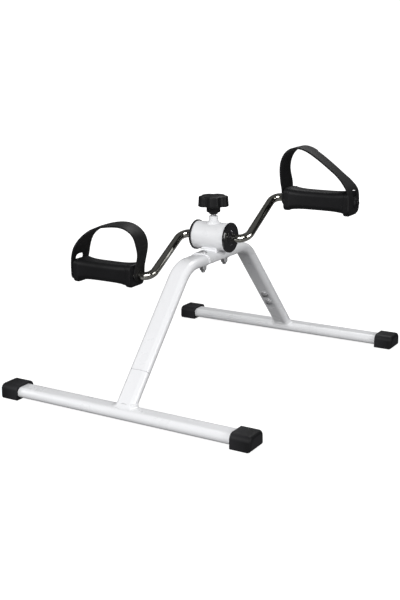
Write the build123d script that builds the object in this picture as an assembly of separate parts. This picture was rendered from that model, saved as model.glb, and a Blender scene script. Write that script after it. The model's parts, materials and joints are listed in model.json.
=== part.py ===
from build123d import *
import math
import os

# Pedal exerciser: a bent tubular stand that carries a crank with two strapped pedals.
# Millimetres. X runs along the crank axis, Y from front to back, Z up.
# The origin is on the floor, midway between the two base tubes.

# Driving dimensions
OVERALL_WIDTH = 400.0
BASE_SPACING = 476.6
TUBE_WIDTH = 30.0
TUBE_THICKNESS = 15.0
TUBE_WALL = 1.5
BASE_HEIGHT = 10.0
ARCH_HEIGHT = 178.0
ARCH_CORNER_Y = 86.0
ARCH_BEND_RADIUS = 50.0
SEAM_HEIGHT = 54.0
SEAM_GAP = 0.6
HUB_HEIGHT = 206.6
HUB_RADIUS = 20.5
HUB_WALL = 2.2
HUB_TUBE_HALF = 26.7
WELD_GAP = 0.02
CRANK_RADIUS = 100.0
CRANK_ANGLE = 30.25
ROD_RADIUS = 6.0

# Base tube end caps
CAP_LENGTH = 29.0
CAP_DEPTH = 37.8
CAP_HEIGHT = 21.0
CAP_END_WALL = 4.0
CAP_SOCKET_GAP = 0.15
CAP_CORNER = 8.0
CAP_FLARE = 0.6
CAP_FOOT_ROUND = 2.0
CAP_END_ROUND = 4.5

# Leg joint: an insert tube bridges the stub and the upper frame
LEG_RUN = BASE_SPACING / 2 - ARCH_CORNER_Y
LEG_RISE = ARCH_HEIGHT - BASE_HEIGHT
LEG_ANGLE = math.atan2(LEG_RISE, LEG_RUN)
SEAM_AT = (SEAM_HEIGHT - BASE_HEIGHT) / math.sin(LEG_ANGLE)
INSERT_GAP = 0.1
INSERT_BELOW = 30.0
INSERT_ABOVE = 58.0
SCREW_AT = [SEAM_AT + 21.0, SEAM_AT + 42.4]
SCREW_RADIUS = 3.0
SCREW_HOLE = 3.25
SCREW_HEAD_RADIUS = 5.8
SCREW_HEAD_HEIGHT = 3.5
SCREW_LENGTH = 12.0
SCREW_CHAMFER = 0.8
HEAD_RIM = 0.6
SOCKET_DEPTH = 1.9
SOCKET_WIDTH = 4.0
WASHER_RADIUS = 6.5
WASHER_THICKNESS = 1.2
NUT_WIDTH = 10.0
NUT_HEIGHT = 5.0
THREAD_GAP = 0.02

# Saddle that joins the hub to the upper frame
SADDLE_HALF_LENGTH = 38.4
SADDLE_PLATE = 1.8
SADDLE_GAP = 0.1
SADDLE_FLANGE = 11.0
NECK_HALF_WIDTH = 13.0
NECK_HALF_DEPTH = 12.5
NECK_HEIGHT = 3.4
BOLT_Y = 31.0
BOLT_HEAD_RADIUS = 6.2
BOLT_HEAD_HEIGHT = 3.6
BOLT_TIP_BELOW = 12.5
FLANGE_NUT_RADIUS = 7.2
FLANGE_HEIGHT = 1.6
NUT_COLLAR_RADIUS = 4.7
NUT_COLLAR_HEIGHT = 2.2
FLANGE_NUT_HEIGHT = 9.4

# Hub, caps and brake
HUB_CAP_RADIUS = 22.1
HUB_CAP_RIM = 3.8
SPIGOT_INNER = 13.0
SPIGOT_WALL = 2.6
BUSH_RADIUS = 9.5
BUSH_NOSE = 2.4
RUNNING_GAP = 0.08
SLEEVE_RADIUS = 10.0
SLEEVE_HALF = 12.7
PIN_RADIUS = 1.5
SHOE_HALF_LENGTH = 9.0
SHOE_HALF_DEPTH = 5.5
SHOE_TOP = 14.4
SHOE_TIGHT_GAP = 0.35
SCREW_IN_TRAVEL = 1.25
BOSS_RADIUS = 6.8
BOSS_FLARE = 9.0
BOSS_TOP = 236.7
STUD_RADIUS = 4.0
STUD_HOLE = 5.0

# Tension knob
KNOB_LOBES = 5
KNOB_FACING = -59.0
KNOB_RADIUS = 22.5
KNOB_FLUTE_RADIUS = 9.0
KNOB_FLUTE_DEPTH = 4.0
KNOB_STEM_RADIUS = 10.2
KNOB_STEM_BOTTOM = 242.5
KNOB_HEAD_BOTTOM = 251.2
KNOB_HEAD_TOP = 266.2
KNOB_DOME = 1.5
STUD_IN_KNOB = 7.0

# Crank rod: distances along X from the middle
ARM_FOOT_X = 55.0
ARM_HEAD_X = 54.5
ARM_FOOT_BEND = 14.0
ARM_HEAD_BEND = 13.0
SHOULDER_X = 166.0
AXLE_TIP_X = 176.0
AXLE_TIP_RADIUS = 4.0

# Pedal: distances along X from the middle, and section sizes
PLATE_INNER_X = 79.0
BODY_INNER_X = 88.0
BODY_OUTER_X = 174.0
PLATE_OUTER_X = 182.6
BODY_END_DEPTH = 36.4
BODY_END_HEIGHT = 31.8
BODY_WAIST_DEPTH = 31.0
BODY_WAIST_HEIGHT = 28.0
BODY_RISE = 0.4
BODY_FLARE_POWER = 4
BODY_CORNER = 8.0
INNER_PLATE_DEPTH = 37.6
INNER_PLATE_HEIGHT = 33.0
OUTER_PLATE_DEPTH = 37.4
OUTER_PLATE_HEIGHT = 34.4
OUTER_PLATE_DROP = 1.2
PLATE_CORNER = 7.0
PLATE_EDGE = 2.0
BUSH_OUTER_RADIUS = 8.0
BUSH_LENGTH = 20.0
NUT_POCKET_RADIUS = 9.5
NUT_POCKET_IN_PLATE = 3.0
AXLE_WASHER_RADIUS = 8.0
AXLE_WASHER_THICKNESS = 1.5
AXLE_NUT_WIDTH = 13.0
AXLE_NUT_HEIGHT = 6.5
BUTTON_NECK_RADIUS = 5.5
BUTTON_HEAD_RADIUS = 7.0
BUTTON_NECK_X = 186.0
BUTTON_TIP_X = 188.6
BUTTON_NUB_RADIUS = 3.0
BUTTON_NUB_X = 191.6

# Foot straps
STRAP_THICKNESS = 2.4
STRAP_TOP_HALF = 12.8
STRAP_INNER_HALF = 14.8
STRAP_TONGUE_HALF = 12.0
STRAP_TAB_HALF = 19.0
STRAP_DROP = 10.5
STRAP_AXLE_GAP = 0.5
STRAP_WINDOW_HALF = 9.5
STRAP_WINDOW_BOTTOM = 8.5
STRAP_WINDOW_TOP = {"left": 22.5, "right": 18.8}
STRAP_WINDOW_CORNER = 4.5

SIDES = {"left": -1, "right": 1}
ENDS = {"front": -1, "rear": 1}


def save(name, *solids):
    """Write one node, made of one solid or of several separate ones."""
    shape = solids[0] if len(solids) == 1 else Compound(children=list(solids))
    export_step(shape, f"parts/{name}.step")


def rod_x(radius, start, end, y=0.0, z=0.0):
    """A round bar parallel to X from start to end."""
    plane = Plane(origin=(start, y, z), z_dir=(1, 0, 0), x_dir=(0, 1, 0))
    return extrude(plane * Circle(radius), amount=end - start)


def rod_z(radius, bottom, top, x=0.0, y=0.0):
    """A round bar parallel to Z from bottom to top."""
    return Pos(x, y, bottom) * extrude(Circle(radius), amount=top - bottom)


def flat_oval(width, thickness):
    """The section of the stand's tubes: two flat faces joined by half rounds."""
    return SlotOverall(width, thickness)


def tube_section(wall=TUBE_WALL, shrink=0.0):
    """The hollow tube section, made smaller all round by shrink."""
    outer = flat_oval(TUBE_WIDTH - 2 * shrink, TUBE_THICKNESS - 2 * shrink)
    inner_width = TUBE_WIDTH - 2 * (shrink + wall)
    inner_thickness = TUBE_THICKNESS - 2 * (shrink + wall)
    return outer - flat_oval(inner_width, inner_thickness)


def hexagon(width):
    """A hexagon by its width across flats."""
    return RegularPolygon(width / 2, 6, major_radius=False)


# Base tubes and their end caps

def base_plane(end, x=0.0):
    return Plane(origin=(x, ENDS[end] * BASE_SPACING / 2, BASE_HEIGHT), z_dir=(1, 0, 0), x_dir=(0, 1, 0))


def base_outer(end):
    """The base tube's outer shape as a full bar, used to cope what is welded to it."""
    half = OVERALL_WIDTH / 2 - CAP_END_WALL
    return extrude(base_plane(end) * flat_oval(TUBE_WIDTH, TUBE_THICKNESS), amount=half, both=True)


def base_tube(end):
    half = OVERALL_WIDTH / 2 - CAP_END_WALL
    return extrude(base_plane(end) * tube_section(), amount=half, both=True)


def cap_outline():
    """The cap's section: a flat foot, slightly flared sides and round shoulders."""
    half = CAP_DEPTH / 2
    corners = [(-half, 0), (half, 0), (half - CAP_FLARE, CAP_HEIGHT), (-half + CAP_FLARE, CAP_HEIGHT)]
    face = make_face(Polyline(*corners, close=True))
    face = fillet(face.vertices().group_by(Axis.Y)[-1], CAP_CORNER)
    return fillet(face.vertices().group_by(Axis.Y)[0], CAP_FOOT_ROUND)


def end_cap(end, side):
    """A moulded cap pushed over the end of a base tube, with a rounded end face."""
    sign = SIDES[side]
    mouth = OVERALL_WIDTH / 2 - CAP_LENGTH
    plane = Plane(origin=(sign * mouth, ENDS[end] * BASE_SPACING / 2, 0), z_dir=(sign, 0, 0), x_dir=(0, sign, 0))
    body = extrude(plane * cap_outline(), amount=CAP_LENGTH)
    far_edges = body.faces().sort_by(Axis.X)[-1 if sign > 0 else 0].edges()
    body = fillet(far_edges, CAP_END_ROUND)
    socket_plane = base_plane(end, sign * (mouth - 1))
    depth = CAP_LENGTH - CAP_END_WALL + 1
    gap = 2 * CAP_SOCKET_GAP
    socket = extrude(socket_plane * flat_oval(TUBE_WIDTH + gap, TUBE_THICKNESS + gap), amount=sign * depth)
    return body - socket


# Legs

def leg_plane(end, along, off=0.0):
    """A plane whose origin is along the leg and off towards its inner face; its normal is that face's."""
    sign = ENDS[end]
    up_leg = Vector(0, -sign * math.cos(LEG_ANGLE), math.sin(LEG_ANGLE))
    inward = Vector(0, -sign * math.sin(LEG_ANGLE), -math.cos(LEG_ANGLE))
    origin = Vector(0, sign * BASE_SPACING / 2, BASE_HEIGHT) + up_leg * along + inward * off
    return Plane(origin=origin, z_dir=inward, x_dir=(1, 0, 0))


def leg_section_plane(end, along):
    """A plane square to the leg, with its local X along the row's X."""
    sign = ENDS[end]
    up_leg = Vector(0, -sign * math.cos(LEG_ANGLE), math.sin(LEG_ANGLE))
    return Plane(origin=leg_plane(end, along).origin, z_dir=up_leg, x_dir=(1, 0, 0))


def leg_stub(end):
    """The short leg welded on the base tube, coped to fit over it."""
    stub = extrude(leg_section_plane(end, 0) * tube_section(), amount=SEAM_AT)
    return stub - base_outer(end)


def leg_insert(end):
    """The narrower tube inside the joint, with two screw holes in its inner face."""
    section = tube_section(shrink=TUBE_WALL + INSERT_GAP)
    start = SEAM_AT - INSERT_BELOW
    insert = extrude(leg_section_plane(end, start) * section, amount=INSERT_BELOW + INSERT_ABOVE)
    for along in SCREW_AT:
        insert -= extrude(leg_plane(end, along) * Circle(SCREW_HOLE), amount=TUBE_THICKNESS)
    return insert


def screw_profile(head_radius, head_height, shank_radius, length):
    """Half outline of a domed screw, head seat at zero and shank below it."""
    rise = head_height - HEAD_RIM
    dome_radius = (head_radius**2 + rise**2) / (2 * rise)
    half_angle = math.asin(head_radius / dome_radius) / 2
    shoulder = (dome_radius * math.sin(half_angle), head_height - dome_radius * (1 - math.cos(half_angle)))
    tip = shank_radius - SCREW_CHAMFER
    outline = [
        ThreePointArc((head_radius, HEAD_RIM), shoulder, (0, head_height)),
        Polyline((0, head_height), (0, -length), (tip, -length), (shank_radius, -length + SCREW_CHAMFER),
                 (shank_radius, 0), (head_radius, 0), (head_radius, HEAD_RIM)),
    ]
    return make_face(outline)


def domed_screw(plane, head_radius, head_height, length):
    """A domed screw whose head sits on the plane and points along its normal."""
    profile = Plane.XZ * screw_profile(head_radius, head_height, SCREW_RADIUS, length)
    return plane.location * revolve(profile, axis=Axis.Z)


def leg_screw(end, along):
    seat = leg_plane(end, along, TUBE_THICKNESS / 2 + WASHER_THICKNESS)
    screw = domed_screw(seat, SCREW_HEAD_RADIUS, SCREW_HEAD_HEIGHT, SCREW_LENGTH)
    drive = leg_plane(end, along, TUBE_THICKNESS / 2 + WASHER_THICKNESS + SCREW_HEAD_HEIGHT - SOCKET_DEPTH)
    return screw - extrude(drive * hexagon(SOCKET_WIDTH), amount=SCREW_HEAD_HEIGHT)


def leg_washer(end, along):
    ring = Circle(WASHER_RADIUS) - Circle(SCREW_HOLE)
    return extrude(leg_plane(end, along, TUBE_THICKNESS / 2) * ring, amount=WASHER_THICKNESS)


def leg_nut(end, along):
    """A nut welded inside the insert, under each screw hole."""
    inner_face = TUBE_THICKNESS / 2 - 2 * TUBE_WALL - INSERT_GAP
    ring = hexagon(NUT_WIDTH) - Circle(SCREW_RADIUS + THREAD_GAP)
    return extrude(leg_plane(end, along, inner_face - NUT_HEIGHT) * ring, amount=NUT_HEIGHT)


def upper_frame():
    """The bent tube over both legs, a thin gap above the stubs, with screw holes and two upright bolt holes."""
    top_front = (0, -ARCH_CORNER_Y, ARCH_HEIGHT)
    top_rear = (0, ARCH_CORNER_Y, ARCH_HEIGHT)
    seam_front = leg_plane("front", SEAM_AT + SEAM_GAP).origin
    seam_rear = leg_plane("rear", SEAM_AT + SEAM_GAP).origin
    path = FilletPolyline(seam_front, top_front, top_rear, seam_rear, radius=ARCH_BEND_RADIUS)
    frame = sweep(leg_section_plane("front", SEAM_AT + SEAM_GAP) * tube_section(), path=path)
    for end in ENDS:
        for along in SCREW_AT:
            frame -= extrude(leg_plane(end, along) * Circle(SCREW_HOLE), amount=TUBE_THICKNESS)
        frame -= rod_z(SCREW_HOLE, ARCH_HEIGHT - TUBE_WIDTH, ARCH_HEIGHT + TUBE_WIDTH, y=ENDS[end] * BOLT_Y)
    return frame


# Saddle and its fasteners

ARCH_TOP = ARCH_HEIGHT + TUBE_THICKNESS / 2
ARCH_BOTTOM = ARCH_HEIGHT - TUBE_THICKNESS / 2
SADDLE_TOP = ARCH_TOP + SADDLE_PLATE


def hub_bar(radius, half=HUB_TUBE_HALF + 10):
    return rod_x(radius, -half, half, z=HUB_HEIGHT)


def saddle_wrap(grow):
    """A flat-oval bar along the arch's level top, larger all round than the tube by grow."""
    plane = Plane(origin=(0, 0, ARCH_HEIGHT), z_dir=(0, 1, 0), x_dir=(1, 0, 0))
    outline = flat_oval(TUBE_WIDTH + 2 * grow, TUBE_THICKNESS + 2 * grow)
    return extrude(plane * outline, amount=SADDLE_HALF_LENGTH, both=True)


def hub_saddle():
    """A pressed plate that hugs the arch from above, with a weld neck that cradles the hub."""
    lip = ARCH_TOP - SADDLE_FLANGE
    below = Pos(0, 0, lip - TUBE_WIDTH) * Box(2 * TUBE_WIDTH, 4 * SADDLE_HALF_LENGTH, 2 * TUBE_WIDTH)
    neck_bottom = Pos(0, 0, ARCH_TOP) * Rectangle(2 * NECK_HALF_WIDTH + 2, 2 * NECK_HALF_DEPTH + 6)
    neck_top = Pos(0, 0, SADDLE_TOP + NECK_HEIGHT) * Rectangle(2 * NECK_HALF_WIDTH, 2 * NECK_HALF_DEPTH)
    saddle = saddle_wrap(SADDLE_PLATE) + loft([neck_bottom, neck_top])
    saddle -= saddle_wrap(SADDLE_GAP)
    saddle -= below
    for y in (-BOLT_Y, BOLT_Y):
        saddle -= rod_z(SCREW_HOLE, ARCH_TOP - 1, SADDLE_TOP + 1, y=y)
    return saddle - hub_bar(HUB_RADIUS + WELD_GAP)


def saddle_bolt(y):
    length = SADDLE_TOP - ARCH_BOTTOM + BOLT_TIP_BELOW
    seat = Plane(origin=(0, y, SADDLE_TOP))
    return domed_screw(seat, BOLT_HEAD_RADIUS, BOLT_HEAD_HEIGHT, length)


def saddle_nut(y):
    """A locking flange nut under the arch: flange, hexagon and the round collar that grips the thread."""
    bottom = ARCH_BOTTOM - FLANGE_NUT_HEIGHT
    prism_bottom = bottom + NUT_COLLAR_HEIGHT
    prism_height = ARCH_BOTTOM - FLANGE_HEIGHT - prism_bottom
    flange = rod_z(FLANGE_NUT_RADIUS, ARCH_BOTTOM - FLANGE_HEIGHT, ARCH_BOTTOM, y=y)
    prism = Pos(0, y, prism_bottom) * extrude(hexagon(NUT_WIDTH), amount=prism_height)
    collar = rod_z(NUT_COLLAR_RADIUS, bottom, prism_bottom, y=y)
    collar = chamfer(collar.edges().group_by(Axis.Z)[0], SCREW_CHAMFER)
    bore = rod_z(SCREW_RADIUS + THREAD_GAP, bottom - 1, ARCH_BOTTOM + 1, y=y)
    return flange + prism + collar - bore


# Hub, its plastic bearing caps and the friction brake inside

def hub_tube():
    shell = hub_bar(HUB_RADIUS, HUB_TUBE_HALF) - hub_bar(HUB_RADIUS - HUB_WALL)
    return shell - rod_z(STUD_HOLE, HUB_HEIGHT, HUB_HEIGHT + 2 * HUB_RADIUS)


def tension_boss():
    """The threaded boss welded on top of the hub, flared at its foot."""
    foot = HUB_HEIGHT + HUB_RADIUS - 3.5
    flare_top = HUB_HEIGHT + HUB_RADIUS + 3.2
    outline = Polyline(
        (STUD_RADIUS + RUNNING_GAP, foot),
        (BOSS_FLARE + 1.5, foot),
        (BOSS_FLARE, HUB_HEIGHT + HUB_RADIUS + 0.4),
        (BOSS_RADIUS, flare_top),
        (BOSS_RADIUS, BOSS_TOP - 0.6),
        (BOSS_RADIUS - 0.6, BOSS_TOP),
        (STUD_RADIUS + RUNNING_GAP, BOSS_TOP),
        close=True,
    )
    return revolve(Plane.XZ * make_face(outline), axis=Axis.Z) - hub_bar(HUB_RADIUS + WELD_GAP)


def hub_cap(side):
    """A glossy cap whose middle is the bearing for the crank rod."""
    sign = SIDES[side]
    rim_start = HUB_TUBE_HALF
    rim_end = HUB_TUBE_HALF + HUB_CAP_RIM
    bore = ROD_RADIUS + RUNNING_GAP
    spigot = HUB_RADIUS - HUB_WALL - 0.05
    outline = Polyline(
        (SPIGOT_INNER, bore),
        (SPIGOT_INNER, BUSH_RADIUS),
        (rim_start - 1.5, BUSH_RADIUS),
        (rim_start - 1.5, spigot - SPIGOT_WALL),
        (SPIGOT_INNER, spigot - SPIGOT_WALL),
        (SPIGOT_INNER, spigot),
        (rim_start, spigot),
        (rim_start, HUB_CAP_RADIUS),
        (rim_end - 1.2, HUB_CAP_RADIUS),
        (rim_end, HUB_CAP_RADIUS - 1.2),
        (rim_end, BUSH_RADIUS + 2.0),
        (rim_end + BUSH_NOSE, BUSH_RADIUS),
        (rim_end + BUSH_NOSE, bore),
        close=True,
    )
    cap = revolve(Plane.XZ * make_face(outline), axis=Axis.X)
    if sign < 0:
        cap = mirror(cap, about=Plane.YZ)
    return Pos(0, 0, HUB_HEIGHT) * cap


def brake_sleeve():
    """The drum that the shoe rubs on, pinned to the crank rod."""
    sleeve = hub_bar(SLEEVE_RADIUS, SLEEVE_HALF) - hub_bar(ROD_RADIUS + THREAD_GAP)
    return sleeve - pin_bar(PIN_RADIUS + THREAD_GAP, SLEEVE_RADIUS + 1)


def pin_bar(radius, half):
    plane = Plane(origin=(0, -half, HUB_HEIGHT), z_dir=(0, 1, 0), x_dir=(1, 0, 0))
    return extrude(plane * Circle(radius), amount=2 * half)


def brake_shoe():
    """The friction block under the tension stud; its curve fits the sleeve when screwed down."""
    top = HUB_HEIGHT + SHOE_TOP
    block = Pos(0, 0, top - SHOE_TOP / 2) * Box(2 * SHOE_HALF_LENGTH, 2 * SHOE_HALF_DEPTH, SHOE_TOP)
    reach = SLEEVE_RADIUS + SHOE_TIGHT_GAP
    curve = rod_x(reach, -SHOE_HALF_LENGTH - 1, SHOE_HALF_LENGTH + 1, z=HUB_HEIGHT + SCREW_IN_TRAVEL)
    return block - curve


def tension_stud():
    stud = rod_z(STUD_RADIUS, HUB_HEIGHT + SHOE_TOP + 0.1, KNOB_HEAD_BOTTOM + STUD_IN_KNOB)
    ends = stud.edges().filter_by(GeomType.CIRCLE)
    return chamfer(ends, 0.7)


def knob_star():
    """The knob's outline: round lobes with scooped flutes between them."""
    star = Circle(KNOB_RADIUS)
    flute_at = KNOB_RADIUS - KNOB_FLUTE_DEPTH + KNOB_FLUTE_RADIUS
    for lobe in range(KNOB_LOBES):
        angle = math.radians(KNOB_FACING + (lobe + 0.5) * 360 / KNOB_LOBES)
        star -= Pos(flute_at * math.cos(angle), flute_at * math.sin(angle)) * Circle(KNOB_FLUTE_RADIUS)
    return fillet(star.vertices(), 2.2)


def tension_knob():
    """A lobed hand knob with a domed top and a round stem, moulded on the stud."""
    head = Pos(0, 0, KNOB_HEAD_BOTTOM) * extrude(knob_star(), amount=KNOB_HEAD_TOP + KNOB_DOME - KNOB_HEAD_BOTTOM)
    dome_radius = (KNOB_RADIUS**2 + KNOB_DOME**2) / (2 * KNOB_DOME)
    head &= Pos(0, 0, KNOB_HEAD_TOP + KNOB_DOME - dome_radius) * Sphere(dome_radius)
    head = chamfer(head.faces().sort_by(Axis.Z)[-1].edges(), 1.2)
    stem = rod_z(KNOB_STEM_RADIUS, KNOB_STEM_BOTTOM, KNOB_HEAD_BOTTOM + 1)
    socket = rod_z(STUD_RADIUS + THREAD_GAP, KNOB_STEM_BOTTOM - 1, KNOB_HEAD_BOTTOM + STUD_IN_KNOB)
    return head + stem - socket


# Crank

ARM_Y = CRANK_RADIUS * math.cos(math.radians(CRANK_ANGLE))
ARM_Z = CRANK_RADIUS * math.sin(math.radians(CRANK_ANGLE))


def pedal_axis(side):
    """The Y and Z of a pedal's axis at rest."""
    return SIDES[side] * ARM_Y, HUB_HEIGHT + SIDES[side] * ARM_Z


def crank_rod():
    """One bent rod: middle journal, two slanted arms and two pedal axles with turned tips."""
    right_y, right_z = pedal_axis("right")
    left_y, left_z = pedal_axis("left")
    points = [
        (-SHOULDER_X, left_y, left_z),
        (-ARM_HEAD_X, left_y, left_z),
        (-ARM_FOOT_X, 0, HUB_HEIGHT),
        (ARM_FOOT_X, 0, HUB_HEIGHT),
        (ARM_HEAD_X, right_y, right_z),
        (SHOULDER_X, right_y, right_z),
    ]
    bends = [ARM_HEAD_BEND, ARM_FOOT_BEND, ARM_FOOT_BEND, ARM_HEAD_BEND]
    path = FilletPolyline(*points, radius=bends)
    start = Plane(origin=points[0], z_dir=(1, 0, 0), x_dir=(0, 1, 0))
    rod = sweep(start * Circle(ROD_RADIUS), path=path)
    for side, sign in SIDES.items():
        y, z = pedal_axis(side)
        tip = rod_x(AXLE_TIP_RADIUS, SHOULDER_X - 1, AXLE_TIP_X, y=sign * y, z=0)
        tip = chamfer(tip.edges().sort_by(Axis.X)[-1], 1.0)
        if sign < 0:
            tip = mirror(tip, about=Plane.YZ)
            tip = mirror(tip, about=Plane.XZ)
        rod += Pos(0, 0, z) * tip
    return rod - pin_bar(PIN_RADIUS + THREAD_GAP, 2 * ROD_RADIUS)


# Pedals: each is modelled about its own axis on the right, then placed on its side

def place(side, shape):
    """Move a right-hand pedal piece from its own axis to its side of the crank."""
    if SIDES[side] < 0:
        shape = mirror(shape, about=Plane.YZ)
    y, z = pedal_axis(side)
    return Pos(0, y, z) * shape


def section_x(x):
    return Plane(origin=(x, 0, 0), z_dir=(1, 0, 0), x_dir=(0, 1, 0))


def pedal_body():
    """The moulded barrel: rounded section, slim along its middle and flared at its ends, bored for the bushes."""
    sections = []
    steps = 12
    for step in range(steps + 1):
        share = step / steps
        swell = (2 * share - 1) ** BODY_FLARE_POWER
        depth = BODY_WAIST_DEPTH + swell * (BODY_END_DEPTH - BODY_WAIST_DEPTH)
        height = BODY_WAIST_HEIGHT + swell * (BODY_END_HEIGHT - BODY_WAIST_HEIGHT)
        x = BODY_INNER_X + share * (BODY_OUTER_X - BODY_INNER_X)
        sections.append(section_x(x) * Pos(0, BODY_RISE) * RectangleRounded(depth, height, BODY_CORNER))
    barrel = loft(sections)
    barrel -= rod_x(BUSH_OUTER_RADIUS + THREAD_GAP, BODY_INNER_X - 1, SHOULDER_X)
    return barrel - rod_x(NUT_POCKET_RADIUS, SHOULDER_X, BODY_OUTER_X + 1)


def end_plate(start, end, depth, height, drop=0.0):
    """A moulded end plate with softened edges, its middle set below the axis by drop."""
    outline = Pos(0, -drop) * RectangleRounded(depth, height, PLATE_CORNER)
    plate = extrude(section_x(start) * outline, amount=end - start)
    rims = plate.faces().sort_by(Axis.X)
    return fillet(rims[0].edges() + rims[-1].edges(), PLATE_EDGE)


def inner_plate():
    plate = end_plate(PLATE_INNER_X, BODY_INNER_X, INNER_PLATE_DEPTH, INNER_PLATE_HEIGHT)
    return plate - rod_x(BUSH_OUTER_RADIUS + THREAD_GAP, PLATE_INNER_X - 1, BODY_INNER_X + 1)


def outer_plate():
    """The outer end plate, pocketed for the axle nut, with the strap's button."""
    plate = end_plate(BODY_OUTER_X, PLATE_OUTER_X, OUTER_PLATE_DEPTH, OUTER_PLATE_HEIGHT, OUTER_PLATE_DROP)
    plate -= rod_x(NUT_POCKET_RADIUS, BODY_OUTER_X - 1, BODY_OUTER_X + NUT_POCKET_IN_PLATE)
    plate += rod_x(BUTTON_NECK_RADIUS, PLATE_OUTER_X - 1, BUTTON_NECK_X)
    head = rod_x(BUTTON_HEAD_RADIUS, BUTTON_NECK_X, BUTTON_TIP_X)
    head = chamfer(head.edges().sort_by(Axis.X)[-1], 1.4)
    nub = rod_x(BUTTON_NUB_RADIUS, BUTTON_TIP_X - 1, BUTTON_NUB_X)
    nub = fillet(nub.edges().sort_by(Axis.X)[-1], 1.0)
    return plate + head + nub


def axle_bushes():
    """Two plain bushes, one at each end of the pedal's bore."""
    starts = (PLATE_INNER_X, SHOULDER_X - BUSH_LENGTH - 0.1)
    inner = ROD_RADIUS + RUNNING_GAP
    return [rod_x(BUSH_OUTER_RADIUS, x, x + BUSH_LENGTH) - rod_x(inner, x - 1, x + BUSH_LENGTH + 1) for x in starts]


def axle_washer():
    ring = Circle(AXLE_WASHER_RADIUS) - Circle(AXLE_TIP_RADIUS + THREAD_GAP)
    return extrude(section_x(SHOULDER_X) * ring, amount=AXLE_WASHER_THICKNESS)


def axle_nut():
    ring = hexagon(AXLE_NUT_WIDTH) - Circle(AXLE_TIP_RADIUS + THREAD_GAP)
    return extrude(section_x(SHOULDER_X + AXLE_WASHER_THICKNESS) * ring, amount=AXLE_NUT_HEIGHT)


# Foot straps: the centre line from the axle tongue, over the foot, to the button tab

STRAP_LINES = {
    "left": [(74.5, -STRAP_DROP), (74.5, 8), (72.2, 24), (70.4, 42), (73.6, 56.5), (84, 67), (97, 72.4), (111, 73),
             (127, 70.3), (143, 65.2), (158.4, 56), (172.4, 42.8), (180.8, 29), (184.3, 14), (184.3, -STRAP_DROP)],
    "right": [(74.5, -STRAP_DROP), (74.8, 8), (73.6, 26), (72.4, 44), (76.4, 61.6), (87, 73), (98, 76), (108.4, 74.4),
              (122, 67.8), (135.4, 59), (149.6, 48.6), (164, 37.2), (175, 27.4), (182.4, 18.4), (184.3, 10),
              (184.3, -STRAP_DROP)],
}


def strap_band(side):
    """The strap's side outline, extruded to its full width."""
    points = STRAP_LINES[side]
    line = Spline(*points, tangents=[(0, 1), (0, -1)])
    half = STRAP_THICKNESS / 2
    count = 40
    ring = []
    for offset in (half, -half):
        edge = []
        for step in range(count + 1):
            spot = line @ (step / count)
            heading = line % (step / count)
            edge.append((spot.X - heading.Y * offset, spot.Y + heading.X * offset))
        ring.append(Spline(*edge))
    ends = [Line(ring[0] @ 0, ring[1] @ 0), Line(ring[0] @ 1, ring[1] @ 1)]
    face = make_face(ring + ends)
    return extrude(Plane.XZ * face, amount=STRAP_TAB_HALF, both=True)


def strap_top_view():
    """The strap's width seen from above, from the crank side to the outer tab."""
    upper = Spline((60, STRAP_INNER_HALF), (80, STRAP_INNER_HALF), (120, STRAP_TOP_HALF), (158, STRAP_TOP_HALF),
                   (176, STRAP_TAB_HALF - 2), (200, STRAP_TAB_HALF))
    lower = mirror(upper, about=Plane.XZ)
    ends = [Line(upper @ 0, lower @ 0), Line(upper @ 1, lower @ 1)]
    return Pos(0, 0, -30) * extrude(make_face([upper, lower] + ends), amount=140)


def strap_end_view():
    """The strap's tongue seen along the crank axis: narrow at the axle, wider above."""
    outline = Polyline((-STRAP_TONGUE_HALF, -30), (STRAP_TONGUE_HALF, -30), (STRAP_TONGUE_HALF, 12),
                       (STRAP_INNER_HALF, 26), (STRAP_INNER_HALF, 110), (-STRAP_INNER_HALF, 110),
                       (-STRAP_INNER_HALF, 26), (-STRAP_TONGUE_HALF, 12), close=True)
    inner = extrude(section_x(60) * make_face(outline), amount=60)
    outer = extrude(section_x(119) * Pos(0, 40) * Rectangle(60, 140), amount=80)
    return inner + outer


def foot_strap(side):
    """The flexible strap, holed for the axle, for the button and for adjustment."""
    strap = strap_band(side) & strap_top_view() & strap_end_view()
    strap -= rod_x(ROD_RADIUS + STRAP_AXLE_GAP, 60, 90)
    strap -= rod_x(BUTTON_NECK_RADIUS + 0.1, 170, 200)
    top = STRAP_WINDOW_TOP[side]
    height = top - STRAP_WINDOW_BOTTOM
    window = Pos(0, top - height / 2) * RectangleRounded(2 * STRAP_WINDOW_HALF, height, STRAP_WINDOW_CORNER)
    return strap - extrude(section_x(160) * window, amount=60)


def write_stand():
    for end in ENDS:
        save(f"{end}_base_tube", base_tube(end))
        save(f"{end}_leg_stub", leg_stub(end))
        save(f"{end}_leg_insert", leg_insert(end))
        for side in SIDES:
            save(f"{end}_{side}_end_cap", end_cap(end, side))
    save("upper_frame", upper_frame())
    places = [(end, along) for end in ENDS for along in SCREW_AT]
    save("leg_screws", *[leg_screw(*spot) for spot in places])
    save("leg_washers", *[leg_washer(*spot) for spot in places])
    save("leg_weld_nuts", *[leg_nut(*spot) for spot in places])
    save("hub_saddle", hub_saddle())
    save("saddle_bolts", saddle_bolt(-BOLT_Y), saddle_bolt(BOLT_Y))
    save("saddle_nuts", saddle_nut(-BOLT_Y), saddle_nut(BOLT_Y))


def write_hub():
    save("hub_tube", hub_tube())
    save("tension_boss", tension_boss())
    for side in SIDES:
        save(f"{side}_hub_cap", hub_cap(side))
    save("brake_shoe", brake_shoe())
    save("tension_stud", tension_stud())
    save("tension_knob", tension_knob())


def write_crank():
    save("crank_rod", crank_rod())
    save("brake_sleeve", brake_sleeve())
    save("sleeve_pin", pin_bar(PIN_RADIUS, SLEEVE_RADIUS - 1))
    for side in SIDES:
        save(f"{side}_axle_washer", place(side, axle_washer()))
        save(f"{side}_axle_nut", place(side, axle_nut()))


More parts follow.
